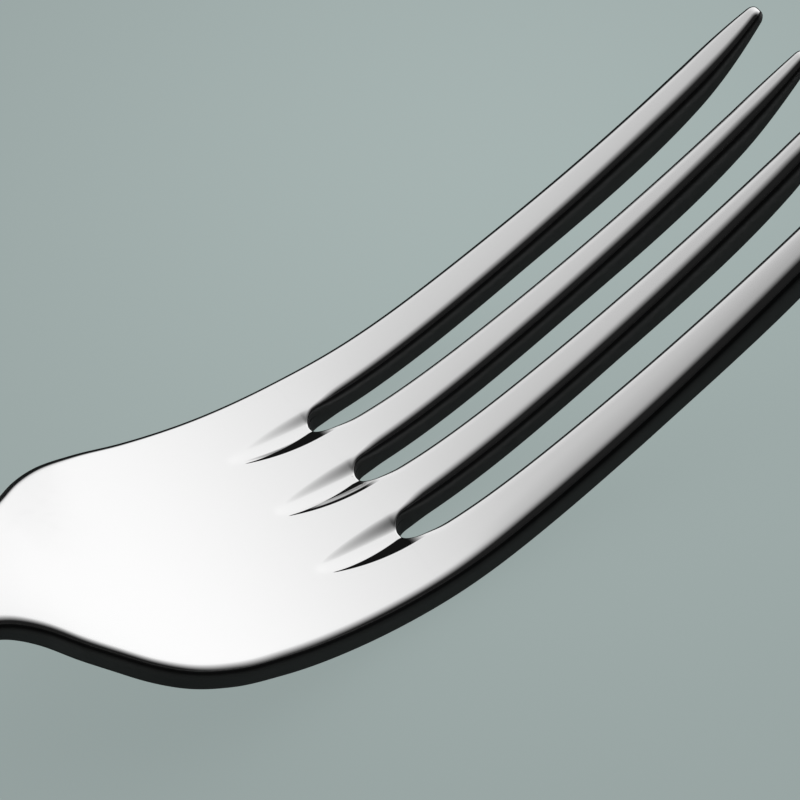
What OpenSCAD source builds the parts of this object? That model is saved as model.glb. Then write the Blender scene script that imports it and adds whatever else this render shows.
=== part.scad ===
// Dinner fork, stamped from one piece of stainless steel.
// The stamping is drawn as eight zones that meet face to face: four tines, the
// palm, the neck, the stem of the handle and its broad end. X runs towards the
// tips, Y across to the left side and Z up. The fork stands on Z = 0, on its belly
// below the slot roots and on a small flat under the end of its handle.
// Places along the fork are arc lengths from the slot roots, towards the tips.

/* [Lengths along the curve] */
// Tines, from the slot roots to the tips
tine_l = 50; // [40:1:60]
// Palm, from the neck to the slot roots
palm_l = 36; // [30:1:44]
// Neck, between the palm and the handle
neck_l = 22; // [16:1:30]
// Stem of the handle, which widens slowly
stem_l = 58; // [40:1:80]
// Broad end of the handle
end_l = 42; // [30:1:56]

/* [Widths] */
// Head at its widest, across the palm
head_w = 26.1; // [23.5:0.1:29]
// Head at the tips, across the outer sides of the outer tines
tips_w = 22.5; // [21:0.5:25]
// Neck at its narrowest
neck_w = 7.7; // [6:0.1:11]
// Stem where it meets the broad end
stem_w = 15; // [11:0.5:18]
// Handle at its widest, near its end
end_w = 19.5; // [16:0.5:24]
// Length over which the end of the handle rounds off
end_round = 8.5; // [5:0.5:12]

/* [Slots] */
// Distance from the middle of the fork to the outer wall of each side slot
slot_y = 7.8; // [7.4:0.1:8.4]
// Width of the side slots at their roots
side_gap = 2.42; // [2:0.02:3]
// Width of the side slots at the tips
side_gap_tip = 3.54; // [2.6:0.02:4.2]
// Width of the middle slot at its root
mid_gap = 2.24; // [1.8:0.02:2.8]
// Width of the middle slot at the tips
mid_gap_tip = 3.28; // [2.6:0.02:4]
// Distance from the roots of the side slots to the root of the middle one
mid_back = 0.3; // [0:0.1:1]
// Length of the coined groove that runs from each slot root into the palm
groove_l = 7.5; // [4:0.5:12]
// Depth of the coined grooves at the slot roots
groove_d = 0.55; // [0.2:0.05:1]
// Width of the coined grooves at the slot roots
groove_w = 3.6; // [2.8:0.1:4.4]

/* [Thicknesses] */
// Metal at the slot roots
root_t = 2.75; // [2.2:0.05:3.2]
// Metal at the shoulders of the palm
shoulder_t = 2.35; // [1.8:0.05:3]
// Metal at the middle of the neck
neck_t = 3.8; // [3:0.1:5]
// Metal at the end of the handle
end_t = 2.4; // [1.8:0.1:3]
// Metal at the tips
tip_t = 1.3; // [0.9:0.1:2]
// Width of each tine at its tip
tip_w = 1.5; // [1:0.1:2]
// Length over which each tine draws in to its tip
tip_l = 9; // [5:0.5:14]
// Rise of the middle of the head above its side edges
head_crown = 0.65; // [0:0.05:1.2]
// Rise of the middle of the handle above its side edges
handle_crown = 0.55; // [0.1:0.05:1]
// Rounding of the upper edges of the palm and at the slot roots
edge_r = 1; // [0.3:0.05:1.2]
// Rounding of the tines' upper edges at the tips
edge_r_tip = 1.35; // [0.3:0.05:1.6]
// Rounding of the upper edges of the handle's broad end
edge_r_handle = 0.7; // [0.3:0.05:1]
// Rounding of the lower edges of the palm. Those of the handle have the same share of it as
// its upper edges have of theirs.
back_r = 0.6; // [0.1:0.05:0.8]
// Depth ground off below the handle end, which leaves the flat that it rests on
land_d = 0.22; // [0.1:0.02:0.4]

/* [Bends] */
// Steepest fall of the palm, in degrees
palm_slope = 30.4; // [20:0.2:36]
// Rise of the tines at their tips, in degrees
tine_slope = 28; // [18:0.5:34]

/* [Hidden] */

// Steps that the curve of the fork is worked out in, over the tines and behind them
tine_steps = 100;
back_steps = 320;
// Angles at which the rounding of an edge has its points
edge_angles = [0, 30, 60, 90];

// Zone ends, as arc lengths
neck_s = -palm_l;
stem_s = neck_s - neck_l;
broad_s = stem_s - stem_l;
back_s = broad_s - end_l;
// Top of the neck's arch, where the fork is level
crest_s = neck_s - 0.5 * neck_l;

// Angle of the head as shares of its slopes, at shares of its lengths
palm_bend_shares = [[1, 0.63], [0.82, 0.985], [0.64, 0.98], [0.47, 0.78], [0.29, 0.495],
                    [0.12, 0.2]];
tine_bend_shares = [[0.12, 0.34], [0.25, 0.57], [0.38, 0.672], [0.5, 0.745], [0.63, 0.822],
                    [0.76, 0.9], [0.88, 0.97], [1, 1]];
// Angle of the handle as shares of its own slope, at shares of its length
handle_bend_shares = [[1, 0], [0.9, 0.32], [0.72, 0.8], [0.5, 1], [0.25, 1], [0.08, 0.8]];

// Draw-in of the palm's sides from the head's width to the neck's
shoulder_shares = [[1, 0.985], [0.94, 0.92], [0.88, 0.78], [0.82, 0.57], [0.76, 0.395],
                   [0.7, 0.23], [0.64, 0.112], [0.52, 0.01], [0.4, 0], [0.2, 0.006]];
// Draw-in of the outer tines from the head's width to its width at the tips
taper_shares = [[0, 0.11], [0.2, 0.37], [0.42, 0.58], [0.62, 0.79], [0.84, 0.96], [1, 1]];

// Smooth curve through the points of a table, each a place and a value, in rising order
function chord(t, i) = (t[i + 1][1] - t[i][1]) / (t[i + 1][0] - t[i][0]);
function lean(t, i) =
    i == 0 ? chord(t, 0) :
    i == len(t) - 1 ? chord(t, i - 1) :
    let (a = t[i][0] - t[i - 1][0], b = t[i + 1][0] - t[i][0])
    (b * chord(t, i - 1) + a * chord(t, i)) / (a + b);
function span_of(t, x, i = 0) = i >= len(t) - 2 || x <= t[i + 1][0] ? i : span_of(t, x, i + 1);
function read(t, x) =
    x <= t[0][0] ? t[0][1] :
    x >= t[len(t) - 1][0] ? t[len(t) - 1][1] :
    let (i = span_of(t, x), d = t[i + 1][0] - t[i][0], u = (x - t[i][0]) / d)
    t[i][1] * (1 + 2 * u) * (1 - u) * (1 - u) + t[i + 1][1] * u * u * (3 - 2 * u)
    + lean(t, i) * d * u * (1 - u) * (1 - u) - lean(t, i + 1) * d * u * u * (1 - u);

// Angle of the fork's middle line, for one slope of the handle. The fork is level at the
// root of the middle slot.
function bends(slope) = concat(
    [for (p = handle_bend_shares) [crest_s + p[0] * (back_s - crest_s), slope * p[1]]],
    [[crest_s, 0]],
    [for (p = palm_bend_shares) [mid_back - p[0] * palm_l, -p[1] * palm_slope]],
    [[mid_back, 0]],
    [for (p = tine_bend_shares) [mid_back + p[0] * tine_l, p[1] * tine_slope]]);

// Points of the middle line, walked from the slot roots to one end
function walk(t, far, n) = [
    for (i = 0, p = [0, 0]; i <= n;
         p = p + far / n * [cos(read(t, far * (i + 0.5) / n)), sin(read(t, far * (i + 0.5) / n))],
         i = i + 1) p];

// Lowest point of the belly, under the rounded side edges at the slot roots
floor_z = -root_t - head_crown * pow(1 - 2 * edge_r / head_w, 2);
// Height of the handle's end that lets it reach the floor
end_z = floor_z + end_t - land_d;
// Slope of the handle that takes its end down to the floor, found in a few rounds. Each
// round adds what is missing, as one degree of slope lowers the end by about slope_gain.
mean_bend_share = 0.75;
slope_gain = (crest_s - back_s) * mean_bend_share * PI / 180;
slope_steps = 8;
function handle_slope(n) =
    n <= 0 ? 0 :
    let (a = handle_slope(n - 1), reach = walk(bends(a), back_s, back_steps)[back_steps][1])
    a + (reach - end_z) / slope_gain;
bend_table = bends(handle_slope(slope_steps));

tine_walk = walk(bend_table, tine_l, tine_steps);
back_walk = walk(bend_table, back_s, back_steps);
function pick(pts, f) =
    let (n = len(pts) - 1, i = min(n - 1, floor(f * n)), u = f * n - i)
    pts[i] * (1 - u) + pts[i + 1] * u;
function middle(s) = s >= 0 ? pick(tine_walk, s / tine_l) : pick(back_walk, s / back_s);

// The fork is shifted so that the middle of its length is at X = 0 and its belly at Z = 0
tip_low_share = 0.65;
tip_reach = middle(tine_l)[0] + (tip_t + head_crown) * tip_low_share * sin(tine_slope);
mid_x = (tip_reach + middle(back_s)[0]) / 2;

// Point of the fork at arc length s, y across and h above the middle line
function place(s, y, h) =
    let (p = middle(s), a = read(bend_table, s))
    [p[0] - mid_x - h * sin(a), y, p[1] - floor_z + h * cos(a)];

// Drop of a rounded edge at distance d inside it
function drop(d, r) = d >= r ? 0 : r - sqrt(max(0, r * r - (r - d) * (r - d)));

// Half width of the fork's outline, before the end of the handle rounds off
width_table = concat(
    [[back_s, end_w * 0.49], [broad_s - 0.55 * end_l, end_w * 0.5], [broad_s, stem_w / 2],
     [stem_s + 0.45 * (broad_s - stem_s), neck_w * 0.2 + stem_w * 0.28],
     [stem_s, neck_w * 0.54], [neck_s - 0.4 * neck_l, neck_w / 2]],
    [for (p = shoulder_shares)
        [mid_back - p[0] * palm_l, (head_w + p[1] * (neck_w - head_w)) / 2]],
    [for (p = taper_shares)
        [mid_back + p[0] * tine_l, (head_w + p[1] * (tips_w - head_w)) / 2]]);
function round_off(d) = d >= end_round ? 1 : sqrt(max(0, 1 - pow(1 - d / end_round, 2)));
function half_w(s) = read(width_table, s);

// Thickness in the middle, and the drops of the top and the bottom towards the edges
thick_table = [
    [back_s, end_t], [broad_s, end_t * 0.6 + neck_t * 0.25], [stem_s, neck_t * 0.95],
    [crest_s, neck_t], [neck_s, neck_t * 0.75], [neck_s * 0.8, shoulder_t * 1.1],
    [neck_s * 0.62, shoulder_t], [neck_s * 0.3, shoulder_t * 0.4 + root_t * 0.6], [0, root_t],
    [(tine_l - tip_l) * 0.5, root_t * 1.02], [tine_l - tip_l, root_t * 1.03], [tine_l, tip_t]];
top_table = [
    [back_s, handle_crown], [stem_s, handle_crown * 1.2], [neck_s, head_crown * 0.7],
    [neck_s * 0.7, head_crown * 0.9], [neck_s * 0.4, head_crown], [0, head_crown],
    [tine_l, head_crown * 0.75]];
bottom_table = [
    [back_s, handle_crown * 0.1], [broad_s, handle_crown * 0.4], [stem_s, handle_crown],
    [neck_s, head_crown * 0.6], [neck_s * 0.8, 0], [neck_s * 0.6, -head_crown * 0.75],
    [neck_s * 0.4, -head_crown], [0, -head_crown], [tine_l, -head_crown * 0.75]];

// Middles of the slots and their widths, at arc length s
function side_open(s) = side_gap + (side_gap_tip - side_gap) * s / tine_l;
function mid_open(s) = mid_gap + (mid_gap_tip - mid_gap) * s / tine_l;
function side_mid(s) = slot_y - side_open(max(0, s)) / 2;
// Half the opening of a slot that is w wide, with its round root
function opening(s, w) = s >= w / 2 ? w / 2 : sqrt(max(0, w * w / 4 - pow(w / 2 - s, 2)));

// Coined groove behind a slot. It deepens and widens towards the slot root, past which its
// sides run out along the tines. Its floor is narrow and its walls flow into the palm.
tip_width_share = 0.3;
wall_share = 0.85;
groove_power = 0.75;
function ease(u) = let (c = min(1, max(0, u))) c * c * (3 - 2 * c);
function groove(s, off) =
    let (f = min(1, max(0, 1 + s / groove_l)),
         fade = pow(min(1, max(0, 1 - 2 * s / groove_l)), 2),
         v = abs(off) / (groove_w / 2 * (tip_width_share + (1 - tip_width_share) * f)))
    groove_d * pow(f, groove_power) * fade * ease((1 - v) / wall_share);
function grooves(s, y) =
    abs(s) >= groove_l ? 0 :
    groove(s, y - side_mid(s)) + groove(s, y + side_mid(s)) + groove(s - mid_back, y);

// Full rounding of the upper and the lower edges at arc length s
function rim_r(s) =
    s > 0 ? edge_r + (edge_r_tip - edge_r) * s / tine_l
    : edge_r + (edge_r_handle - edge_r) * ease((neck_s - s) / (neck_s - broad_s));
function under_r(s) = back_r * min(1, rim_r(s) / edge_r);
// Share of that rounding at a slot w wide and o open to each side. It grows from the root.
root_soft_share = 0.18;
root_soft_l = 3.5;
function slot_soft(s, o, w) =
    min(2 * o / w, root_soft_share + (1 - root_soft_share) * ease(s / root_soft_l));

// Points of one rounded side edge, from its wall inwards: distance from the wall, and the
// drops of the top and of the bottom there
function edge(r, rb) =
    [for (a = edge_angles) [r * (1 - cos(a)), r * (1 - sin(a)), rb * (1 - sin(a))]];

// Cross-section at arc length s from y = right to y = left, as its top points from left
// to right and its bottom points back. inner places the points between the edges, soft
// gives each side's share of the full rounding, and dip thins the fork at a free end.
function even(n) = [for (i = [1 : n - 1]) i / n];
function gathered(n) = [for (i = [1 : n - 1]) (1 - cos(180 * i / n)) / 2];
function section(s, right, left, inner, soft = [1, 1], dip = 0) =
    let (w = half_w(s), t = read(thick_table, s), up = read(top_table, s),
         low = read(bottom_table, s), most = min((left - right) / 2, (t / 2 - dip) * 0.98),
         a = edge(min(most, rim_r(s) * soft[1]), min(most, under_r(s) * soft[1])),
         b = edge(min(most, rim_r(s) * soft[0]), min(most, under_r(s) * soft[0])),
         m = len(edge_angles) - 1, in_l = left - a[m][0], in_r = right + b[m][0],
         rows = concat(
             [for (e = a) [left - e[0], e[1], e[2]]],
             [for (share = inner) [in_l + (in_r - in_l) * share, 0, 0]],
             [for (i = [m : -1 : 0]) [right + b[i][0], b[i][1], b[i][2]]]))
    concat(
        [for (e = rows)
            place(s, e[0], -up * pow(e[0] / w, 2) - grooves(s, e[0]) - e[1] - dip)],
        [for (i = [len(rows) - 1 : -1 : 0])
            place(s, rows[i][0], low * pow(rows[i][0] / w, 2) - t + rows[i][2] + dip)]);

// Solid through a list of sections, which all have the same number of points
module loft(rings) {
    m = len(rings[0]);
    k = len(rings) - 1;
    polyhedron(
        points = [for (ring = rings) for (p = ring) p],
        faces = concat(
            [for (i = [0 : k - 1]) for (j = [0 : m - 1])
                [i * m + j, (i + 1) * m + j, i * m + (j + 1) % m]],
            [for (i = [0 : k - 1]) for (j = [0 : m - 1])
                [(i + 1) * m + j, (i + 1) * m + (j + 1) % m, i * m + (j + 1) % m]],
            [for (j = [0 : m / 2 - 2]) [j, j + 1, m - 1 - j]],
            [for (j = [0 : m / 2 - 2]) [j + 1, m - 2 - j, m - 1 - j]],
            [for (j = [0 : m / 2 - 2]) [k * m + j, k * m + m - 1 - j, k * m + j + 1]],
            [for (j = [0 : m / 2 - 2]) [k * m + j + 1, k * m + m - 1 - j, k * m + m - 2 - j]]));
}

// Even steps from one arc length to another, and steps that close up towards a free end
function steps(a, b, n) = [for (i = [0 : n]) a + (b - a) * i / n];
function closing(a, b, n) = [for (i = [1 : n]) a + (b - a) * sin(90 * i / n)];

// Tine between two sides, each a slot's edge or the outline, drawn in to its tip. Each
// side gives its places and its share of the full rounding, station by station.
tine_stations = concat(
    [for (i = [0 : 5]) side_gap / 2 * (1 - cos(18 * i))],
    steps(side_gap / 2, tine_l - tip_l, 20),
    closing(tine_l - tip_l, tine_l, 9));
tip_dip_share = 0.7;
function drawn(s) = s <= tine_l - tip_l ? 0 : pow((s - tine_l + tip_l) / tip_l, 2);
module tine(right, left) {
    loft([for (i = [0 : len(tine_stations) - 1])
        let (s = tine_stations[i], r = right[i], l = left[i], wide = l[0] - r[0],
             mid = (l[0] + r[0]) / 2, dip = drop(tine_l - s, tip_t / 2) * tip_dip_share,
             half = (wide + drawn(s) * (tip_w - wide)) / 2 - dip)
        section(s, mid - half, mid + half, gathered(9), [r[1], l[1]], dip)]);
}
function mirrored(side) = [for (p = side) [-p[0], p[1]]];
outline = [for (s = tine_stations) [half_w(s), 1]];
side_outer = [for (s = tine_stations) let (o = opening(s, side_open(s)))
    [side_mid(s) + o, slot_soft(s, o, side_open(s))]];
side_inner = [for (s = tine_stations) let (o = opening(s, side_open(s)))
    [side_mid(s) - o, slot_soft(s, o, side_open(s))]];
mid_wall = [for (s = tine_stations)
    let (o = s <= mid_back ? 0 : opening(s - mid_back, mid_open(s)))
    [o, slot_soft(s, o, mid_open(s))]];

module left_outer_tine() {
    color("silver")
        tine(side_outer, outline);
}

module left_inner_tine() {
    color("gainsboro")
        tine(mid_wall, side_inner);
}

module right_inner_tine() {
    color("silver")
        tine(mirrored(side_inner), mirrored(mid_wall));
}

module right_outer_tine() {
    color("gainsboro")
        tine(mirrored(outline), mirrored(side_outer));
}

// Palm, with the coined grooves behind the three slots
module palm() {
    stations = concat(
        steps(neck_s, -groove_l, 18),
        [for (s = steps(-groove_l, 0, 12)) if (s > -groove_l) s]);
    color("lightgray")
        loft([for (s = stations) section(s, -half_w(s), half_w(s), even(46))]);
}

// Neck, the thickest part, which arches over from the palm to the handle
module neck() {
    color("darkgray")
        loft([for (s = steps(stem_s, neck_s, 16)) section(s, -half_w(s), half_w(s), even(10))]);
}

// Stem of the handle
module handle_stem() {
    color("silver")
        loft([for (s = steps(broad_s, stem_s, 20)) section(s, -half_w(s), half_w(s), even(10))]);
}

// Broad end of the handle, rounded off. Its lowest points are raised to the floor, which
// leaves the flat that it rests on.
function grounded(ring) = [for (p = ring) [p[0], p[1], max(0, p[2])]];
module handle_end() {
    end_dip_share = 0.8;
    first_angle = 4;
    turn = (90 - first_angle) / 11;
    last = end_round * (1 - cos(first_angle));
    stations = concat(
        [for (a = [first_angle : turn : 90]) back_s + end_round * (1 - cos(a))],
        [for (s = steps(back_s + end_round, broad_s, 16)) if (s > back_s + end_round) s]);
    color("lightgray")
        loft([for (s = stations)
            let (w = half_w(s) * round_off(s - back_s),
                 dip = drop(s - back_s - last, edge_r_handle) * end_dip_share)
            grounded(section(s, -w, w, even(10), [1, 1], dip))]);
}

left_outer_tine();
left_inner_tine();
right_inner_tine();
right_outer_tine();
palm();
neck();
handle_stem();
handle_end();
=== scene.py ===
import math

import bpy
import numpy as np
from mathutils import Matrix, Vector


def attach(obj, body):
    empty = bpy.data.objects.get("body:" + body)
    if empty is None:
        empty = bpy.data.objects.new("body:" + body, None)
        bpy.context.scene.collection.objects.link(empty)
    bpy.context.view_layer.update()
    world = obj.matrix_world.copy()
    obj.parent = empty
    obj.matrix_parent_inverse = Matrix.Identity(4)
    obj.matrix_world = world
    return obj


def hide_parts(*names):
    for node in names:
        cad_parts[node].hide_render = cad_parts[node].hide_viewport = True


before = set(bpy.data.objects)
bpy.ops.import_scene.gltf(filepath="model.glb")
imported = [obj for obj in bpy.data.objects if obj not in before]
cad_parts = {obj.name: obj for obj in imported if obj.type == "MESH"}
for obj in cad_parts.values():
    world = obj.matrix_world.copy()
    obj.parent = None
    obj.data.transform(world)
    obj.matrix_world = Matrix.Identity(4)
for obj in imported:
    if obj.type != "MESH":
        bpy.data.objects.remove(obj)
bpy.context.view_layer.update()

# Stamping, its curve
# The fork is one piece of stainless steel, blanked from sheet, rolled and pressed. Sizes
# are millimetres, and places along it are arc lengths from the roots of the side slots
# towards the tips. Its middle line is level at the slot roots and at the neck's crest.
MM = 0.001
TINE_L, PALM_L, NECK_L, STEM_L, END_L = 50.0, 36.0, 22.0, 58.0, 42.0
NECK_S = -PALM_L
STEM_S = NECK_S - NECK_L
BROAD_S = STEM_S - STEM_L
BACK_S = BROAD_S - END_L
CREST_S = NECK_S - NECK_L / 2
# The middle slot's root lies a little further on than those of the side slots
MID_BACK = 0.3
HEAD_W, HEAD_CROWN, HANDLE_CROWN = 26.1, 0.65, 0.55
ROOT_T, SHOULDER_T, NECK_T, END_T, TIP_T = 2.75, 2.35, 3.8, 2.4, 1.3
EDGE_R = 1.0
# Depth ground off below the handle's end
LAND_D = 0.22
PALM_SLOPE, TINE_SLOPE = 30.4, 28.0
# Share of a tip's depth that lies past the end of the middle line, because the tips rise
TIP_LOW_SHARE = 0.65

palm_bend_shares = [(1, .63), (.82, .985), (.64, .98), (.47, .78), (.29, .495), (.12, .2)]
tine_bend_shares = [(.12, .34), (.25, .57), (.38, .672), (.5, .745), (.63, .822), (.76, .9),
                    (.88, .97), (1, 1)]
handle_bend_shares = [(1, 0), (.9, .32), (.72, .8), (.5, 1), (.25, 1), (.08, .8)]


def eased(points):
    """Smooth curve through points, each a place and a value."""
    points = sorted(points)
    x, v = np.array([p[0] for p in points]), np.array([p[1] for p in points])
    d = np.diff(x)
    chord = np.diff(v) / d
    inner = (d[1:] * chord[:-1] + d[:-1] * chord[1:]) / (d[1:] + d[:-1])
    lean = np.concatenate([chord[:1], inner, chord[-1:]])

    def at(s):
        s = np.clip(s, x[0], x[-1])
        i = np.clip(np.searchsorted(x, s) - 1, 0, len(d) - 1)
        u = (s - x[i]) / d[i]
        ends = v[i] * (1 + 2 * u) * (1 - u) ** 2 + v[i + 1] * u * u * (3 - 2 * u)
        return ends + d[i] * u * (1 - u) * (lean[i] * (1 - u) - lean[i + 1] * u)
    return at


def bend(handle_slope):
    """Angle of the middle line, in degrees, for one slope of the handle."""
    handle_l = BACK_S - CREST_S
    return eased([(CREST_S + a * handle_l, handle_slope * b) for a, b in handle_bend_shares]
                 + [(CREST_S, 0), (MID_BACK, 0)]
                 + [(MID_BACK - a * PALM_L, -b * PALM_SLOPE) for a, b in palm_bend_shares]
                 + [(MID_BACK + a * TINE_L, b * TINE_SLOPE) for a, b in tine_bend_shares])


walk_step = 0.05
walk_s = np.arange(BACK_S, TINE_L + walk_step / 2, walk_step)


def walked(angle):
    """Middle line: its x and z at every place of walk_s, from the slot roots."""
    mids = np.radians(angle((walk_s[1:] + walk_s[:-1]) / 2))
    x, z = [np.concatenate([[0], np.cumsum(f(mids) * np.diff(walk_s))]) for f in (np.cos, np.sin)]
    return x - np.interp(0, walk_s, x), z - np.interp(0, walk_s, z)


# The belly lies on the floor, and the handle slopes so that its end does too
lift = ROOT_T + HEAD_CROWN * (1 - 2 * EDGE_R / HEAD_W) ** 2
handle_slope, tries = 10.0, 8
for _ in range(tries):
    line_x, line_z = walked(bend(handle_slope))
    missing = line_z[0] + lift - END_T + LAND_D
    handle_slope += math.degrees(missing / (CREST_S - BACK_S))
angle = bend(handle_slope)
tip_reach = line_x[-1] + (TIP_T + HEAD_CROWN) * TIP_LOW_SHARE * math.sin(math.radians(TINE_SLOPE))
shift = -(tip_reach + line_x[0]) / 2


def middle(s):
    """Point of the middle line at arc length s."""
    return np.interp(s, walk_s, line_x) + shift, np.interp(s, walk_s, line_z) + lift


# Stamping, its blank
# A flat strip with the fork's outline, drawn at one even width, with four tines parted
# by punched slots with round ends. Lines run close beside each edge, where the steel is
# rounded, and the strip is a grid that is cut, thickened and then smoothed.
TIPS_W, NECK_W, STEM_W, END_W, END_ROUND = 22.5, 7.7, 15.0, 19.5, 8.5
# Outer wall of the side slots, and each slot's width at its root and at the tips
SLOT_Y = 7.8
SIDE_GAP, MID_GAP = (2.42, 3.54), (2.24, 3.28)
EDGE_R_TIP, EDGE_R_HANDLE, BACK_R = 1.35, 0.7, 0.6
TIP_L, GROOVE_L = 9.0, 7.5
FLAT_W = HEAD_W / 2
# Depth of the first and the last layer of faces in the strip's thickness
RIM = 0.12

shoulder_shares = [(1, .985), (.94, .92), (.88, .78), (.82, .57), (.76, .395), (.7, .23),
                   (.64, .112), (.52, .01), (.4, 0), (.2, .006)]
taper_shares = [(0, .11), (.2, .37), (.42, .58), (.62, .79), (.84, .96), (1, 1)]
half_w = eased(
    [(BACK_S, END_W * .49), (BROAD_S - .55 * END_L, END_W * .5), (BROAD_S, STEM_W / 2),
     (STEM_S - .45 * STEM_L, NECK_W * .2 + STEM_W * .28), (STEM_S, NECK_W * .54),
     (NECK_S - .4 * NECK_L, NECK_W / 2)]
    + [(MID_BACK - a * PALM_L, (HEAD_W + b * (NECK_W - HEAD_W)) / 2) for a, b in shoulder_shares]
    + [(MID_BACK + a * TINE_L, (HEAD_W + b * (TIPS_W - HEAD_W)) / 2) for a, b in taper_shares])


def gap(widths, s):
    """Width of a slot at arc length s, from its widths at the root and at the tips."""
    return widths[0] + (widths[1] - widths[0]) * np.clip(s / TINE_L, 0, 1)


def side_mid(s):
    """Distance of the side slots' middle lines from the fork's."""
    return SLOT_Y - gap(SIDE_GAP, s) / 2


def smooth(u):
    """Smooth step from 0 to 1."""
    u = np.clip(u, 0, 1)
    return u * u * (3 - 2 * u)


def edge_r(s):
    """Rounding of the upper edges, which is larger at the tips and smaller on the handle."""
    return (EDGE_R + (EDGE_R_TIP - EDGE_R) * np.clip(s / TINE_L, 0, 1)
            + (EDGE_R_HANDLE - EDGE_R) * smooth((NECK_S - s) / (NECK_S - BROAD_S)))


# Places of the lines in an edge's rounding, and the most of a tine that a rounding takes
rim_shares, most_share = (.134, .5, 1), .45
slot_columns, tine_columns, rings = 4, 2 * len(rim_shares) + 2, len(rim_shares) + 1


def across(s):
    """Places of the blank's long lines at arc length s, from its right side to its left."""
    s = max(s, 0)
    w, side, mid = float(half_w(s)), gap(SIDE_GAP, s) / 2, gap(MID_GAP, s) / 2
    half = [0, mid / 2, mid]
    for low, high in ((mid, side_mid(s) - side), (side_mid(s) + side, w)):
        r = min(edge_r(s), (high - low) * most_share)
        if low > mid:
            step = (low - half[-1]) / slot_columns
            half += [half[-1] + step * k for k in range(1, slot_columns + 1)]
        half += [low + r * k for k in rim_shares] + [(low + high) / 2]
        half += [high - r * k for k in reversed(rim_shares)] + [high]
    return np.array([-y for y in half[:0:-1]] + half) * FLAT_W / w


side_r = SIDE_GAP[0] / 2
end_shares = (0, .07, .24, .5, .75, 1)
# The first rings of vertices round the slots' roots take up this much of the palm
ring_room = 1.7 * EDGE_R
rows = [BACK_S + END_ROUND * k for k in end_shares]
for start, end, count in ((BACK_S + END_ROUND, BROAD_S, 8), (BROAD_S, STEM_S, 12),
                          (STEM_S, NECK_S, 10), (NECK_S, -GROOVE_L, 20),
                          (-GROOVE_L, -ring_room, 7)):
    rows += list(np.linspace(start, end, count)[1:])
rows += [-EDGE_R * k for k in reversed(rim_shares)]
root_row, side_turns = len(rows), 2
rows += [side_r * (1 - math.cos(math.pi / 4 * (1 + k / side_turns))) for k in range(side_turns + 1)]
for start, end, count in ((side_r, TINE_L - TIP_L, 18), (TINE_L - TIP_L, TINE_L - TIP_T, 7)):
    rows += list(np.linspace(start, end, count)[1:])
rows += [TINE_L - .4 * TIP_T, TINE_L]
# Each slot's first column, and the place across, the place along and the radius of its root
columns = len(across(0))
half_columns = columns // 2
side_first = half_columns + slot_columns // 2 + tine_columns
slots = [(half_columns - slot_columns // 2, 0, MID_BACK, MID_GAP[0] / 2),
         (side_first, SLOT_Y - side_r, 0, side_r),
         (columns - 1 - side_first - slot_columns, side_r - SLOT_Y, 0, side_r)]

bpy.ops.object.select_all(action="DESELECT")
bpy.ops.mesh.primitive_grid_add(x_subdivisions=len(rows) - 1, y_subdivisions=columns - 1, size=1)
stamping = bpy.context.object
stamping.name = "stamping"
grid, key_of = {}, {}
shift_rows = 6
for v in stamping.data.vertices:
    i, j = round((v.co.x + .5) * (len(rows) - 1)), round((v.co.y + .5) * (columns - 1))
    grid[i, j], key_of[v.index] = v, (i, j)
    s, y = rows[i], across(rows[i])[j]
    # Rows near the slot roots bow towards the middle slot's root
    inward = (SLOT_Y - SIDE_GAP[0] - abs(y)) / (SLOT_Y - SIDE_GAP[0] - MID_GAP[0] / 2)
    s += MID_BACK * min(1, max(0, inward)) * max(0, 1 - abs(i - root_row) / shift_rows)
    # The end of the handle is a half disc, stretched to an ellipse
    if rows[i] < BACK_S + END_ROUND:
        u, k = 1 - (rows[i] - BACK_S) / END_ROUND, y / FLAT_W
        s = BACK_S + END_ROUND * (1 - u * math.sqrt(1 - k * k / 2))
        y *= math.sqrt(1 - u * u / 2)
    v.co = (s, y, 0)
# Rings of vertices run round each slot's root, over a quarter turn and an eighth to each side
widen, inner_share = FLAT_W / float(half_w(0)), 1.025
for first, mid, root, r in slots:
    for ring in range(rings):
        reach = r + EDGE_R * rim_shares[ring - 1] if ring else r * inner_share
        places = {(root_row - ring, first - ring + k): -45 + 90 * k / (slot_columns + 2 * ring)
                  for k in range(slot_columns + 2 * ring + 1)}
        for k in range(1, side_turns + ring + 1):
            turn = 45 + 45 * k / (side_turns + ring)
            places[root_row - ring + k, first - ring] = -turn
            places[root_row - ring + k, first + slot_columns + ring] = turn
        for key, turn in places.items():
            turn = math.radians(turn)
            s, y = root + r - reach * math.cos(turn), mid + reach * math.sin(turn)
            grid[key].co = (s, y * widen, 0)

bpy.ops.object.mode_set(mode="EDIT")
bpy.ops.mesh.select_mode(type="FACE")
bpy.ops.mesh.select_all(action="DESELECT")
bpy.ops.object.mode_set(mode="OBJECT")
for p in stamping.data.polygons:
    keys = [key_of[k] for k in p.vertices]
    i, j = min(k[0] for k in keys), min(k[1] for k in keys)
    p.select = i >= root_row and any(first <= j < first + slot_columns for first, *_ in slots)
bpy.ops.object.mode_set(mode="EDIT")
bpy.ops.mesh.delete(type="FACE")
bpy.ops.mesh.select_all(action="SELECT")
for step in (RIM, ROOT_T - 2 * RIM, RIM):
    bpy.ops.mesh.extrude_region_move(TRANSFORM_OT_translate={"value": (0, 0, -step)})
bpy.ops.mesh.select_all(action="SELECT")
bpy.ops.mesh.normals_make_consistent(inside=False)
bpy.ops.object.mode_set(mode="OBJECT")
smoothing = stamping.modifiers.new("smoothing", "SUBSURF")
smoothing.levels = smoothing.render_levels = 2
bpy.ops.object.modifier_apply(modifier="smoothing")

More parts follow.
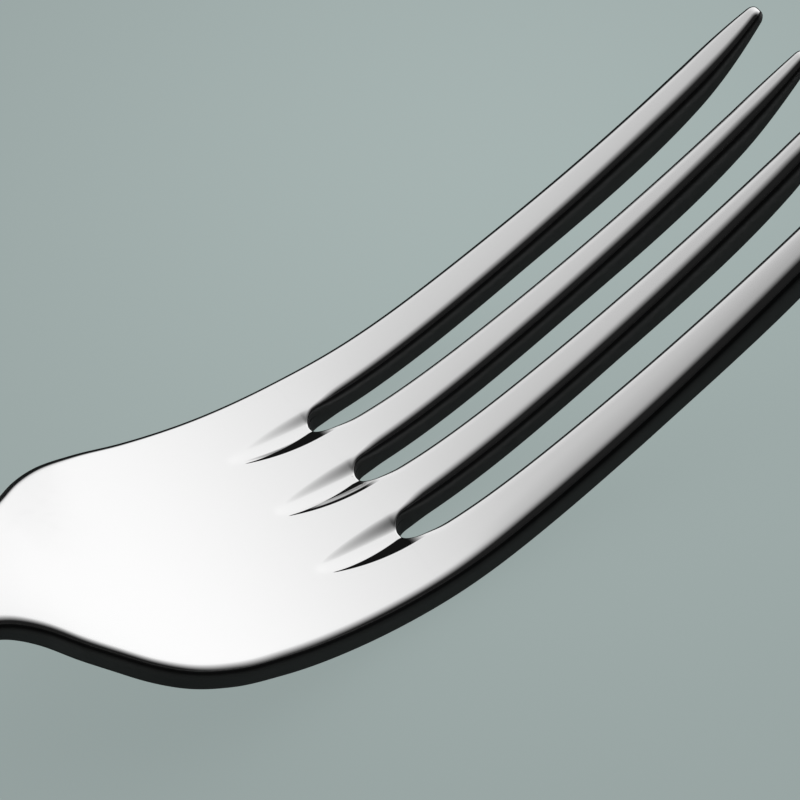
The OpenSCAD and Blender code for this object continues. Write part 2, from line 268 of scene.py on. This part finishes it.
# Stamping, coined, rolled and pressed
# The grooves are struck behind the slots, the tines are drawn in to their tips, the edges
# are tumbled round, and the press bends the whole strip to the fork's curve.
GROOVE_D, GROOVE_W = 0.55, 3.6
groove_tip_share, groove_wall_share, groove_power = 0.3, 0.85, 0.75
# Share of the rounding that the slots' edges have at their roots, and where it is full
ROOT_SHARE, ROOT_GROWTH = 0.18, 3.5
TIP_W, TIP_DIP_SHARE, TINE_CROWN = 1.5, 0.7, 0.12
# Most of its metal that a rounding takes, and the least length that is divided by
KEPT_SHARE, LEAST = 0.98, 0.01
# Share of an edge's rounding past which its slope counts as wall
WALL_FROM = 0.6

thick = eased(
    [(BACK_S, END_T), (BROAD_S, END_T * .6 + NECK_T * .25), (STEM_S, NECK_T * .95),
     (CREST_S, NECK_T), (NECK_S, NECK_T * .75), (NECK_S * .8, SHOULDER_T * 1.1),
     (NECK_S * .62, SHOULDER_T), (NECK_S * .3, SHOULDER_T * .4 + ROOT_T * .6), (0, ROOT_T),
     ((TINE_L - TIP_L) * .5, ROOT_T * 1.02), (TINE_L - TIP_L, ROOT_T * 1.03), (TINE_L, TIP_T)])
top_fall = eased(
    [(BACK_S, HANDLE_CROWN), (STEM_S, HANDLE_CROWN * 1.2), (NECK_S, HEAD_CROWN * .7),
     (NECK_S * .7, HEAD_CROWN * .9), (NECK_S * .4, HEAD_CROWN), (0, HEAD_CROWN),
     (TINE_L, HEAD_CROWN * .75)])
bottom_rise = eased(
    [(BACK_S, HANDLE_CROWN * .1), (BROAD_S, HANDLE_CROWN * .4), (STEM_S, HANDLE_CROWN),
     (NECK_S, HEAD_CROWN * .6), (NECK_S * .8, 0), (NECK_S * .6, -HEAD_CROWN * .75),
     (NECK_S * .4, -HEAD_CROWN), (0, -HEAD_CROWN), (TINE_L, -HEAD_CROWN * .75)])


def groove_half(s):
    """Half width of a groove at arc length s from its slot's root."""
    bowed = 1 - np.clip(-s / GROOVE_L, 0, 1) ** 2
    return GROOVE_W / 2 * (groove_tip_share + (1 - groove_tip_share) * bowed)


def groove(s, off):
    """Depth of a groove at arc length s from its slot's root, off to the side by off."""
    reach, fade = np.clip(1 + s / GROOVE_L, 0, 1), np.clip(1 - 2 * s / GROOVE_L, 0, 1) ** 2
    wall = smooth((1 - np.abs(off) / groove_half(s)) / groove_wall_share)
    return GROOVE_D * reach ** groove_power * fade * wall


def drop(d, r):
    """Share of a rounding that is left at distance d inside the edge, for radius r."""
    return 1 - np.sqrt(1 - np.clip(1 - d / r, 0, 1) ** 2)


def slot_distance(s, y, widths, mid, root):
    """Distance from a slot's wall, round its root too."""
    r = widths[0] / 2
    past = np.minimum(s - root - r, 0)
    return np.hypot(past, np.abs(y) - mid) - np.where(past < 0, r, gap(widths, s) / 2)


flat = np.empty(len(stamping.data.vertices) * 3)
stamping.data.vertices.foreach_get("co", flat)
s, y, z = flat.reshape(-1, 3).T
w = half_w(s)
y = y * w / FLAT_W
# Distances from the walls of the slots and from the outline, round the handle's end too
from_slot = np.maximum(0, np.minimum(slot_distance(s, y, SIDE_GAP, side_mid(s), 0),
                                     slot_distance(s, y, MID_GAP, 0, MID_BACK)))
end_u = np.clip(1 - (s - BACK_S) / END_ROUND, 0, 1)
end_in = np.hypot(end_u, y / w)
end_slope = np.hypot(end_u / END_ROUND, y / w ** 2) / np.maximum(end_in, LEAST)
from_end = (1 - end_in) / np.maximum(end_slope, LEAST)
from_side = np.maximum(0, np.where(end_u > 0, from_end, w - np.abs(y)))

# Each tine is drawn in about its own middle line
side, mid = gap(SIDE_GAP, s) / 2, gap(MID_GAP, s) / 2
is_outer = np.abs(y) > side_mid(s)
low = np.where(is_outer, side_mid(s) + side, mid)
high = np.where(is_outer, w, side_mid(s) - side)
centre, half = (low + high) / 2, (high - low) / 2
dip = drop(TINE_L - s, TIP_T / 2) * TIP_T / 2 * TIP_DIP_SHARE
drawn = np.clip((s - TINE_L + TIP_L) / TIP_L, 0, 1) ** 2
narrow = np.where(s > TINE_L - TIP_L, 1 + (drawn * (TIP_W / 2 - half) - dip) / half, 1)
flat_y = y
y = np.where(s > 0, np.sign(y) * (centre + (np.abs(y) - centre) * narrow), y)

# Heights of the top and the bottom above the middle line
most = np.minimum((thick(s) / 2 - dip) * KEPT_SHARE, np.where(s > side_r, half * narrow, w))
r = np.minimum(edge_r(s), most)
under_r = np.minimum(BACK_R * np.minimum(edge_r(s) / EDGE_R, 1), most)
grown = ROOT_SHARE + (1 - ROOT_SHARE) * smooth(s / ROOT_GROWTH)
rounding = np.maximum(drop(from_slot * narrow, r * grown) * grown, drop(from_side * narrow, r))
fall = groove(s, y - side_mid(s)) + groove(s, y + side_mid(s)) + groove(s - MID_BACK, y)
crown = TINE_CROWN * smooth(s / GROOVE_L) * np.clip((np.abs(flat_y) - centre) / half, -1, 1) ** 2
top = -top_fall(s) * (y / w) ** 2 - fall - dip - rounding * r - crown
bottom = bottom_rise(s) * (y / w) ** 2 - thick(s) + dip + rounding * under_r
down = -z / ROOT_T
h = top * (1 - down) + bottom * down

tilt = np.radians(angle(s))
mid_x, mid_z = middle(s)
x3, z3 = mid_x - h * np.sin(tilt), np.maximum(mid_z + h * np.cos(tilt), 0)
stamping.data.vertices.foreach_set("co", (np.stack([x3, y, z3], 1) * MM).ravel())
stamping.data.update()
bpy.ops.object.shade_smooth()

# The finish follows three attributes: how far down a wall a point lies, its place across
# each groove, from 0 at the right rim to 1 where the right wall ends, and its arc length
steep = np.maximum(1 - from_slot * narrow / (r * grown), 1 - from_side * narrow / r)
stamping.data.attributes.new("wall", "FLOAT", "POINT").data.foreach_set(
    "value", np.clip((steep - WALL_FROM) / (1 - WALL_FROM), 0, 1))
across_grooves = np.stack([(1 + (y - mid) / groove_half(s)) / groove_wall_share
                           for mid in (-side_mid(s), 0, side_mid(s))], 1)
# Points well below the top lie outside every groove
is_low, outside = down > .3, -1
across_grooves[is_low] = outside
stamping.data.attributes.new("across grooves", "FLOAT_VECTOR", "POINT").data.foreach_set(
    "vector", across_grooves.ravel())
stamping.data.attributes.new("along", "FLOAT", "POINT").data.foreach_set("value", s)


# Polished steel
# The stamping is polished to a mirror on a soft wheel, which leaves faint hairlines along
# it. The walls of the slots and of the outline keep a satin with marks across, with painted
# shade along their upper edge, and a painted dark reflection lies on the right wall of each groove.
# The second colour here is a painted dark reflection, laid on the right wall of each groove
STEEL, PAINTED_DARK_REFLECTION = (.80, .80, .80, 1), (.012, .012, .012, 1)
# The second colour here is painted shade along the upper edge of the walls
SATIN, PAINTED_EDGE_SHADE = (.42, .42, .42, 1), (.05, .05, .05, 1)
# Scales of the noise: hairlines run along the fork, marks across its walls
HAIR_SCALE, MARK_SCALE, CLOUD_SCALE = (40, 900, 900), (2600, 300, 260), 120.0
HAIR_DENSITY, HAIR_DETAIL, MARK_DETAIL = 1.6, 3.0, 2.0
# Roughness of the mirror and of the satin, and the most that each unevenness adds
MIRROR_ROUGH, CLOUD_ROUGH, HAIR_ROUGH = .075, .03, .03
SATIN_ROUGH, MARK_ROUGH = .38, .16
# Where the noise counts as a hairline, where down a wall the satin is full, and where the painted
# shade along the upper edge starts to give way to the satin
HAIR_FROM, HAIR_TO, SATIN_FULL, EDGE_SHADE_FADE_FROM = .45, .75, .3, .5
# Depth of the bump, its strength, and the heights of the hairlines and marks as shares of it
BUMP_D, BUMP_STRENGTH, HAIR_SHARE, MARK_SHARE = .04 * MM, .25, .04, .5


class Wire:
    """A socket that Python operators work on. Each operator adds a Math node."""

    def __init__(self, tree, socket=None):
        self.tree, self.socket = tree, socket

    def node(self, kind, settings=None, out=0, **values):
        """A node of any kind, wired on from its output number out. Its settings are set first,
        then the values or links of its sockets, each given by its name or as i and its number."""
        made = self.tree.nodes.new(kind)
        for name, value in (settings or {}).items():
            setattr(made, name, value)
        for name, value in values.items():
            by_number = name[1:].isdigit()
            socket = made.inputs[int(name[1:]) if by_number else name.replace("_", " ")]
            if isinstance(value, Wire):
                self.tree.links.new(value.socket, socket)
            else:
                socket.default_value = value
        return Wire(self.tree, made.outputs[out] if len(made.outputs) else None)

    def maths(self, operation, other=0.0, third=0.0):
        return self.node("ShaderNodeMath", {"operation": operation}, i0=self, i1=other, i2=third)

    def __add__(self, other):
        return self.maths("ADD", other)

    def __mul__(self, other):
        return self.maths("MULTIPLY", other)

    def __sub__(self, other):
        return self.maths("SUBTRACT", other)

    def __rsub__(self, other):
        return self.maths("MULTIPLY_ADD", -1.0, other)

    __radd__, __rmul__ = __add__, __mul__

    def ramp(self, low, high):
        """Straight ramp from 0 at low to 1 at high."""
        return self.node("ShaderNodeMapRange", i0=self, i1=low, i2=high)

    def rise(self, low, high):
        """Smooth step from 0 at low to 1 at high."""
        return self.node("ShaderNodeMapRange", {"interpolation_type": "SMOOTHSTEP"},
                         i0=self, i1=low, i2=high)

    def mixed(self, one, other):
        """Colour from one where this is 0 to the other where it is 1."""
        return self.node("ShaderNodeMix", {"data_type": "RGBA"}, out=2, i0=self, i6=one, i7=other)


def paint(name):
    """A new material with no nodes, and a wire to start its nodes from."""
    material = bpy.data.materials.new(name)
    material.use_nodes = True
    material.node_tree.nodes.clear()
    return material, Wire(material.node_tree)


steel, wire = paint("polished steel")
steel_place = wire.node("ShaderNodeTexCoord", out=3)
long_way = wire.node("ShaderNodeMapping", Vector=steel_place, Scale=HAIR_SCALE)
cross_way = wire.node("ShaderNodeMapping", Vector=steel_place, Scale=MARK_SCALE)
hairs = wire.node("ShaderNodeTexNoise", Vector=long_way, Scale=HAIR_DENSITY,
                  Detail=HAIR_DETAIL, Roughness=.6)
marks = wire.node("ShaderNodeTexNoise", Vector=cross_way, Scale=1.0, Detail=MARK_DETAIL,
                  Roughness=.6)
clouds = wire.node("ShaderNodeTexNoise", Vector=steel_place, Scale=CLOUD_SCALE, Detail=2.0)
down_wall = wire.node("ShaderNodeAttribute", {"attribute_name": "wall"}, out=2)
wall = down_wall.rise(0, SATIN_FULL)
polished = MIRROR_ROUGH + CLOUD_ROUGH * clouds + HAIR_ROUGH * hairs.rise(HAIR_FROM, HAIR_TO)
roughness = polished * (1 - wall) + wall * (SATIN_ROUGH + MARK_ROUGH * marks)
# Satin colour, painted darker along the walls' upper edge, where its rough sheen would catch the
# softbox
satin_with_edge_shade = down_wall.rise(EDGE_SHADE_FADE_FROM, 1).mixed(PAINTED_EDGE_SHADE, SATIN)
shade = wall.mixed(STEEL, satin_with_edge_shade)
uneven = hairs * (HAIR_SHARE - HAIR_SHARE * wall) + marks * wall * MARK_SHARE
bump = wire.node("ShaderNodeBump", Strength=BUMP_STRENGTH, Distance=BUMP_D, Height=uneven)

# The painted dark reflection starts close to the groove's tip, where it is soon full, widens up to
# the slot's root and fades past it. Its places across are shares of the groove's right wall.
DARK_REFLECTION_FROM, DARK_REFLECTION_FULL, DARK_REFLECTION_WIDE = -6.6, -6.3, -.4
FADE_FROM, FADE_TO = .1, 1.6
THIN_END, WIDENING, SOFT_EDGE, CLEAR_RIM = .12, .8, .04, (.02, .05)
# In the middle groove a strip of it is half taken away as a painted lighter reflection, from about
# halfway along to the slot
REFLECTION_STRIP_SHARE, REFLECTION_STRIP_FROM, REFLECTION_STRIP_FULL = .55, -5, -3.4
REFLECTION_STRIP_RIGHT, REFLECTION_STRIP_LEFT = (.2, .27), (.5, .57)
along = wire.node("ShaderNodeAttribute", {"attribute_name": "along"}, out=2)
across_grooves = wire.node("ShaderNodeAttribute", {"attribute_name": "across grooves"}, out=1)
far_edge = THIN_END + WIDENING * along.ramp(DARK_REFLECTION_FROM, DARK_REFLECTION_WIDE)
reflection_strip_length = along.rise(REFLECTION_STRIP_FROM, REFLECTION_STRIP_FULL)
# Mask of the painted dark reflection, summed over the three grooves
dark_reflection_mask = 0
for k, has_reflection_strip in enumerate((0, 1, 0)):
    place = wire.node("ShaderNodeSeparateXYZ", out=k, i0=across_grooves)
    band = place.rise(*CLEAR_RIM) * (far_edge - place).rise(0, SOFT_EDGE)
    # A strip of the painted dark reflection is halved here, a painted lighter reflection
    strip = place.rise(*REFLECTION_STRIP_RIGHT) * (1 - place.rise(*REFLECTION_STRIP_LEFT)) * reflection_strip_length * has_reflection_strip
    dark_reflection_mask = band * (1 - REFLECTION_STRIP_SHARE * strip) + dark_reflection_mask
dark_reflection_mask = dark_reflection_mask * along.rise(DARK_REFLECTION_FROM, DARK_REFLECTION_FULL) * (1 - along.rise(FADE_FROM, FADE_TO))
bright = wire.node("ShaderNodeBsdfPrincipled", Base_Color=shade, Metallic=1.0,
                   Roughness=roughness, Normal=bump)
# A dull black, painted where the grooves' right walls show a dark reflection
dark_reflection_paint = wire.node("ShaderNodeBsdfPrincipled", Base_Color=PAINTED_DARK_REFLECTION, Roughness=1.0,
                 Specular_IOR_Level=0.0)
finish = wire.node("ShaderNodeMixShader", i0=dark_reflection_mask, i1=bright, i2=dark_reflection_paint)
wire.node("ShaderNodeOutputMaterial", Surface=finish)
stamping.data.materials.append(steel)


# Tines
# The four tines are the part of the stamping past the slot roots. Each piece is parted from
# the rest at planes and closed, keeps the stamping's shading, and laps over its neighbour by
# a few microns, so that no light leaks in.
LAP = .004
CUT_TOLERANCE = 1e-8


def parted(name, *cuts):
    """A closed copy of the stamping past each cut, which is a point in mm and a direction."""
    bpy.ops.object.select_all(action="DESELECT")
    stamping.select_set(True)
    bpy.context.view_layer.objects.active = stamping
    bpy.ops.object.duplicate()
    piece = bpy.context.object
    piece.name = piece.data.name = "polished_" + name
    bpy.ops.object.mode_set(mode="EDIT")
    for point, direction in cuts:
        bpy.ops.mesh.select_all(action="SELECT")
        bpy.ops.mesh.bisect(plane_co=Vector(point) * MM, plane_no=direction, clear_inner=True,
                            threshold=CUT_TOLERANCE)
    bpy.ops.object.mode_set(mode="OBJECT")
    shading = piece.modifiers.new("shading", "DATA_TRANSFER")
    shading.object = stamping
    shading.use_loop_data = True
    shading.data_types_loops = {"CUSTOM_NORMAL"}
    shading.loop_mapping = "POLYINTERP_NEAREST"
    bpy.ops.object.modifier_apply(modifier="shading")
    bpy.ops.object.mode_set(mode="EDIT")
    bpy.ops.mesh.select_mode(type="EDGE")
    bpy.ops.mesh.select_all(action="DESELECT")
    bpy.ops.mesh.select_non_manifold(use_wire=False, use_multi_face=False, use_verts=False)
    bpy.ops.mesh.mark_sharp()
    bpy.ops.mesh.edge_face_add()
    bpy.ops.object.mode_set(mode="OBJECT")
    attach(piece, "root")
    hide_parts(name)


def plane_at(s):
    """Cut square to the middle line at arc length s, facing the tips."""
    x, z = middle(s)
    tilt = math.radians(float(angle(s)))
    return (x, 0, z), (math.cos(tilt), 0, math.sin(tilt))


def turned(cut):
    """The same cut, keeping its other side."""
    point, direction = cut
    return point, tuple(-k for k in direction)


# The tines' own cuts run through the slots
root_y = SLOT_Y - SIDE_GAP[0] / 2
left, right = (0, 1, 0), (0, -1, 0)
parted("left_outer_tine", plane_at(0), ((0, root_y, 0), left))
parted("left_inner_tine", plane_at(0), ((0, root_y, 0), right), ((0, -LAP, 0), left))
parted("right_inner_tine", plane_at(0), ((0, -root_y, 0), left), ((0, LAP, 0), right))
parted("right_outer_tine", plane_at(0), ((0, -root_y, 0), right))

# Palm
# The spoon-like part of the stamping behind the tines. The grooves that were coined behind
# the slots end in its face.
parted("palm", plane_at(NECK_S), turned(plane_at(LAP)))

# Neck
# The thickest part of the stamping, which arches from the palm over to the handle and is
# rounded above and below.
parted("neck", plane_at(STEM_S), turned(plane_at(NECK_S + LAP)))

# Handle
# The stamping's stem widens slowly, and its broad end is rounded off and ground flat where
# it rests.
parted("handle_stem", plane_at(BROAD_S), turned(plane_at(STEM_S + LAP)))
parted("handle_end", turned(plane_at(BROAD_S + LAP)))
bpy.data.objects.remove(stamping)

# Floor
# A card in matt grey-green, on which the fork lies, painted lighter in the middle of a pool of
# light.
# Reflected rays see it in a painted dark colour, so that polished metal sees the floor as
# dark.
# The second colour here is a painted dark, shown only in reflections of the floor
CARD, REFLECTED_FLOOR_DARK = (.40, .475, .465, 1), (.008, .009, .009, 1)
# The card's colour is painted lighter in the middle of the pool of light and darker round it
PAINTED_POOL_MIDDLE, PAINTED_POOL_ROUND = (.432, .513, .502, 1), (.352, .418, .409, 1)
POOL_AT, POOL_R, FLOOR_W = (85 * MM, 22 * MM, 0), 75 * MM, 3000 * MM
# Share of the card's light that no shadow takes away
EVEN_LIGHT_SHARE = .8
bpy.ops.mesh.primitive_plane_add(size=FLOOR_W)
floor = bpy.context.object
floor.name = "floor"
card, wire = paint("grey-green card")
card_place = wire.node("ShaderNodeTexCoord", out=3)
from_pool = wire.node("ShaderNodeVectorMath", {"operation": "DISTANCE"}, out=1, i0=card_place,
                      i1=POOL_AT)
pool = from_pool.rise(0, POOL_R).mixed(PAINTED_POOL_MIDDLE, PAINTED_POOL_ROUND)
shaded = wire.node("ShaderNodeBsdfDiffuse", Color=CARD)
plain = wire.node("ShaderNodeEmission", Color=pool)
# Painted dark reflection of the floor, which only reflected rays see
dark = wire.node("ShaderNodeEmission", Color=REFLECTED_FLOOR_DARK)
pale = wire.node("ShaderNodeMixShader", i0=EVEN_LIGHT_SHARE, i1=shaded, i2=plain)
is_glossy = wire.node("ShaderNodeLightPath", out=3)
seen = wire.node("ShaderNodeMixShader", i0=is_glossy, i1=pale, i2=dark)
wire.node("ShaderNodeOutputMaterial", Surface=seen)
floor.data.materials.append(card)

# Light
# A large softbox stands on the fork's left side and reaches over it, brightest towards the
# tips. It fades out towards the right side and close above the floor, where it is dark.
# Its level straight above, what it gains towards the tips and the left, and the studio's own
LEVEL, LEVEL_X, LEVEL_Y, STUDIO = .724, .521, .121, .015
# Its edges, on directions of length 1. The right one leans, further right towards the tips
EDGE_LEAN, EDGE_FROM, EDGE_TO = .3, -.46, .36
LOW_FROM, LOW_TO = -.04, .2
world = bpy.context.scene.world or bpy.data.worlds.new("studio")
bpy.context.scene.world = world
world.use_nodes = True
world.node_tree.nodes.clear()
wire = Wire(world.node_tree)
sky_place = wire.node("ShaderNodeTexCoord")
dx, dy, dz = [wire.node("ShaderNodeSeparateXYZ", out=k, i0=sky_place) for k in range(3)]
from_left = (dy + EDGE_LEAN * dx).ramp(EDGE_FROM, EDGE_TO)
from_above = dz.rise(LOW_FROM, LOW_TO)
softbox = ((LEVEL + LEVEL_X * dx + LEVEL_Y * dy) * from_left + STUDIO) * from_above
sky = wire.node("ShaderNodeBackground", Color=(1, 1, 1, 1), Strength=softbox)
wire.node("ShaderNodeOutputWorld", Surface=sky)

# Camera
# It looks down on the head from the right and from above the handle, about 26 cm away,
# and is turned about its own line of sight. look is where the middle slot's root lies in
# the picture, in pixels from its centre.
az, el, roll = math.radians(-27.2012), math.radians(51.6555), math.radians(-7.5583)
picture, focal, look = 800, 3311.51, (-43.652, 39.846)
# Pixels from the frame's middle down to the photograph's, and the sensor's width in mm
picture_low, sensor = 33, 36
dist, nearest = 263.790 * MM, 10 * MM
back = Vector((math.sin(az) * math.cos(el), -math.cos(az) * math.cos(el), math.sin(el)))
horizontal = Vector((0, 0, 1)).cross(back).normalized()
upright = back.cross(horizontal)
across_x = horizontal * math.cos(roll) + upright * math.sin(roll)
up = upright * math.cos(roll) - horizontal * math.sin(roll)
root_x, root_z = middle(MID_BACK)
target = Vector((root_x, 0, root_z)) * MM
spot = target + back * dist - across_x * (look[0] / focal * dist) + up * (look[1] / focal * dist)
bpy.ops.object.camera_add()
camera = bpy.context.object
camera.matrix_world = Matrix(((across_x.x, up.x, back.x, spot.x),
                              (across_x.y, up.y, back.y, spot.y),
                              (across_x.z, up.z, back.z, spot.z), (0, 0, 0, 1)))
camera.data.sensor_width = sensor
camera.data.lens = focal / picture * sensor
camera.data.shift_y = picture_low / picture
camera.data.clip_start = nearest
bpy.context.scene.camera = camera
bpy.context.scene.view_settings.view_transform = "Standard"
